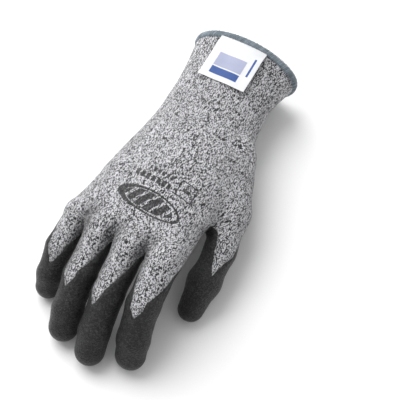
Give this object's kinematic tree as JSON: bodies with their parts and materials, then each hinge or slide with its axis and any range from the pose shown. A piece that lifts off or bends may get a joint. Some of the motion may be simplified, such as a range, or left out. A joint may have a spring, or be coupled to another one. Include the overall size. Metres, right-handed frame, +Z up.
{
  "type": "cut resistant glove",
  "caption": "Seamless knitted right-hand work glove with a dipped palm and fingertips, a plain knitted cuff, an overlocked hem and a woven label; each finger, the thumb and the wrist bend.",
  "frame": {"origin": "on the surface the glove lies on, under the middle of its overall box", "axes": "+X towards the thumb, +Y towards the cuff, +Z up, away from the surface; back of the hand up"},
  "size_m": [0.1076, 0.24, 0.0554],
  "materials": {
    "knit": "heathered light grey and black seamless knit",
    "coating": "black foamed dip coating, dull with a soft sheen",
    "hem_thread": "blue-grey overlock thread",
    "label": "white woven satin tape",
    "print_light": "plain lavender print",
    "print_dark": "plain blue print"
  },
  "bodies": {
    "hand": {"palm_knit_back": "knit", "palm_knit_front": "knit", "palm_coating": "coating", "wrist_crease": "knit", "little_crease_1": "knit", "ring_crease_1": "knit", "middle_crease_1": "knit", "index_crease_1": "knit", "thumb_crease_1": "knit"},
    "little_base": {"little_knit_1": "knit", "little_coating_1": "coating", "little_crease_2": "knit"},
    "little_middle": {"little_knit_2": "knit", "little_coating_2": "coating", "little_crease_3": "coating"},
    "little_tip": {"little_knit_3": "knit", "little_coating_3": "coating"},
    "ring_base": {"ring_knit_1": "knit", "ring_coating_1": "coating", "ring_crease_2": "knit"},
    "ring_middle": {"ring_knit_2": "knit", "ring_coating_2": "coating", "ring_crease_3": "coating"},
    "ring_tip": {"ring_knit_3": "knit", "ring_coating_3": "coating"},
    "middle_base": {"middle_knit_1": "knit", "middle_coating_1": "coating", "middle_crease_2": "knit"},
    "middle_middle": {"middle_knit_2": "knit", "middle_coating_2": "coating", "middle_crease_3": "coating"},
    "middle_tip": {"middle_knit_3": "knit", "middle_coating_3": "coating"},
    "index_base": {"index_knit_1": "knit", "index_coating_1": "coating", "index_crease_2": "knit"},
    "index_middle": {"index_knit_2": "knit", "index_coating_2": "coating", "index_crease_3": "coating"},
    "index_tip": {"index_knit_3": "knit", "index_coating_3": "coating"},
    "thumb_base": {"thumb_knit_1": "knit", "thumb_coating_1": "coating", "thumb_crease_2": "coating"},
    "thumb_tip": {"thumb_knit_2": "knit", "thumb_coating_2": "coating"},
    "cuff": {"cuff_knit": "knit", "cuff_hem": "hem_thread", "label_seam": "hem_thread"},
    "label": {"label_tape": "label", "label_panel": "print_light", "label_band": "print_dark", "label_stripe": "print_dark"}
  },
  "joints": [
    {"name": "little_base_bend", "type": "hinge", "parent": "hand", "child": "little_base", "pos_m": [-0.04407, -0.04894, 0.03095], "axis": [0.9938, -0.0469, 0.1007], "range_deg": [-20, 45], "stiffness_Nm_per_rad": 0.05, "deforming": ["little_crease_1"]},
    {"name": "little_middle_bend", "type": "hinge", "parent": "little_base", "child": "little_middle", "pos_m": [-0.04437, -0.06393, 0.02686], "axis": [0.9938, -0.0469, 0.1007], "range_deg": [-25, 50], "stiffness_Nm_per_rad": 0.04, "deforming": ["little_crease_2"]},
    {"name": "little_tip_bend", "type": "hinge", "parent": "little_middle", "child": "little_tip", "pos_m": [-0.0438, -0.07708, 0.01515], "axis": [0.9938, -0.0469, 0.1007], "range_deg": [-18, 25], "stiffness_Nm_per_rad": 0.03, "deforming": ["little_crease_3"]},
    {"name": "ring_base_bend", "type": "hinge", "parent": "hand", "child": "ring_base", "pos_m": [-0.02347, -0.05599, 0.03456], "axis": [0.9954, 0.0293, 0.0911], "range_deg": [-20, 45], "stiffness_Nm_per_rad": 0.05, "deforming": ["ring_crease_1"]},
    {"name": "ring_middle_bend", "type": "hinge", "parent": "ring_base", "child": "ring_middle", "pos_m": [-0.02239, -0.07632, 0.02933], "axis": [0.9954, 0.0293, 0.0911], "range_deg": [-25, 50], "stiffness_Nm_per_rad": 0.04, "deforming": ["ring_crease_2"]},
    {"name": "ring_tip_bend", "type": "hinge", "parent": "ring_middle", "child": "ring_tip", "pos_m": [-0.02072, -0.09427, 0.0169], "axis": [0.9954, 0.0293, 0.0911], "range_deg": [-18, 25], "stiffness_Nm_per_rad": 0.03, "deforming": ["ring_crease_3"]},
    {"name": "middle_base_bend", "type": "hinge", "parent": "hand", "child": "middle_base", "pos_m": [-0.00139, -0.05782, 0.03757], "axis": [0.9953, 0.0362, 0.0902], "range_deg": [-20, 45], "stiffness_Nm_per_rad": 0.05, "deforming": ["middle_crease_1"]},
    {"name": "middle_middle_bend", "type": "hinge", "parent": "middle_base", "child": "middle_middle", "pos_m": [0.00001, -0.0799, 0.03095], "axis": [0.9953, 0.0362, 0.0902], "range_deg": [-25, 50], "stiffness_Nm_per_rad": 0.04, "deforming": ["middle_crease_2"]},
    {"name": "middle_tip_bend", "type": "hinge", "parent": "middle_middle", "child": "middle_tip", "pos_m": [0.0019, -0.09935, 0.01787], "axis": [0.9953, 0.0362, 0.0902], "range_deg": [-18, 25], "stiffness_Nm_per_rad": 0.03, "deforming": ["middle_crease_3"]},
    {"name": "index_base_bend", "type": "hinge", "parent": "hand", "child": "index_base", "pos_m": [0.02187, -0.0566, 0.03869], "axis": [0.9948, 0.05, 0.0884], "range_deg": [-20, 45], "stiffness_Nm_per_rad": 0.05, "deforming": ["index_crease_1"]},
    {"name": "index_middle_bend", "type": "hinge", "parent": "index_base", "child": "index_middle", "pos_m": [0.02338, -0.07632, 0.03291], "axis": [0.9948, 0.05, 0.0884], "range_deg": [-25, 50], "stiffness_Nm_per_rad": 0.04, "deforming": ["index_crease_2"]},
    {"name": "index_tip_bend", "type": "hinge", "parent": "index_middle", "child": "index_tip", "pos_m": [0.02545, -0.09195, 0.01836], "axis": [0.9948, 0.05, 0.0884], "range_deg": [-18, 25], "stiffness_Nm_per_rad": 0.03, "deforming": ["index_crease_3"]},
    {"name": "thumb_base_bend", "type": "hinge", "parent": "hand", "child": "thumb_base", "pos_m": [0.04152, -0.01629, 0.02072], "axis": [-0.8326, -0.2063, 0.514], "range_deg": [-25, 20], "stiffness_Nm_per_rad": 0.05, "deforming": ["thumb_crease_1"]},
    {"name": "thumb_tip_bend", "type": "hinge", "parent": "thumb_base", "child": "thumb_tip", "pos_m": [0.04223, -0.03681, 0.0157], "axis": [-0.8319, -0.2093, 0.514], "range_deg": [-40, 15], "stiffness_Nm_per_rad": 0.04, "deforming": ["thumb_crease_2"]},
    {"name": "wrist_bend", "type": "hinge", "parent": "hand", "child": "cuff", "pos_m": [-0.01013, 0.05501, 0.02696], "axis": [0.9981, 0.0044, 0.061], "range_deg": [-25, 25], "stiffness_Nm_per_rad": 0.3, "deforming": ["wrist_crease"]},
    {"name": "label_lift", "type": "hinge", "parent": "cuff", "child": "label", "pos_m": [-0.01155, 0.11564, 0.05168], "axis": [-0.9996, -0.0005, -0.0279], "range_deg": [0, 110]}
  ]
}
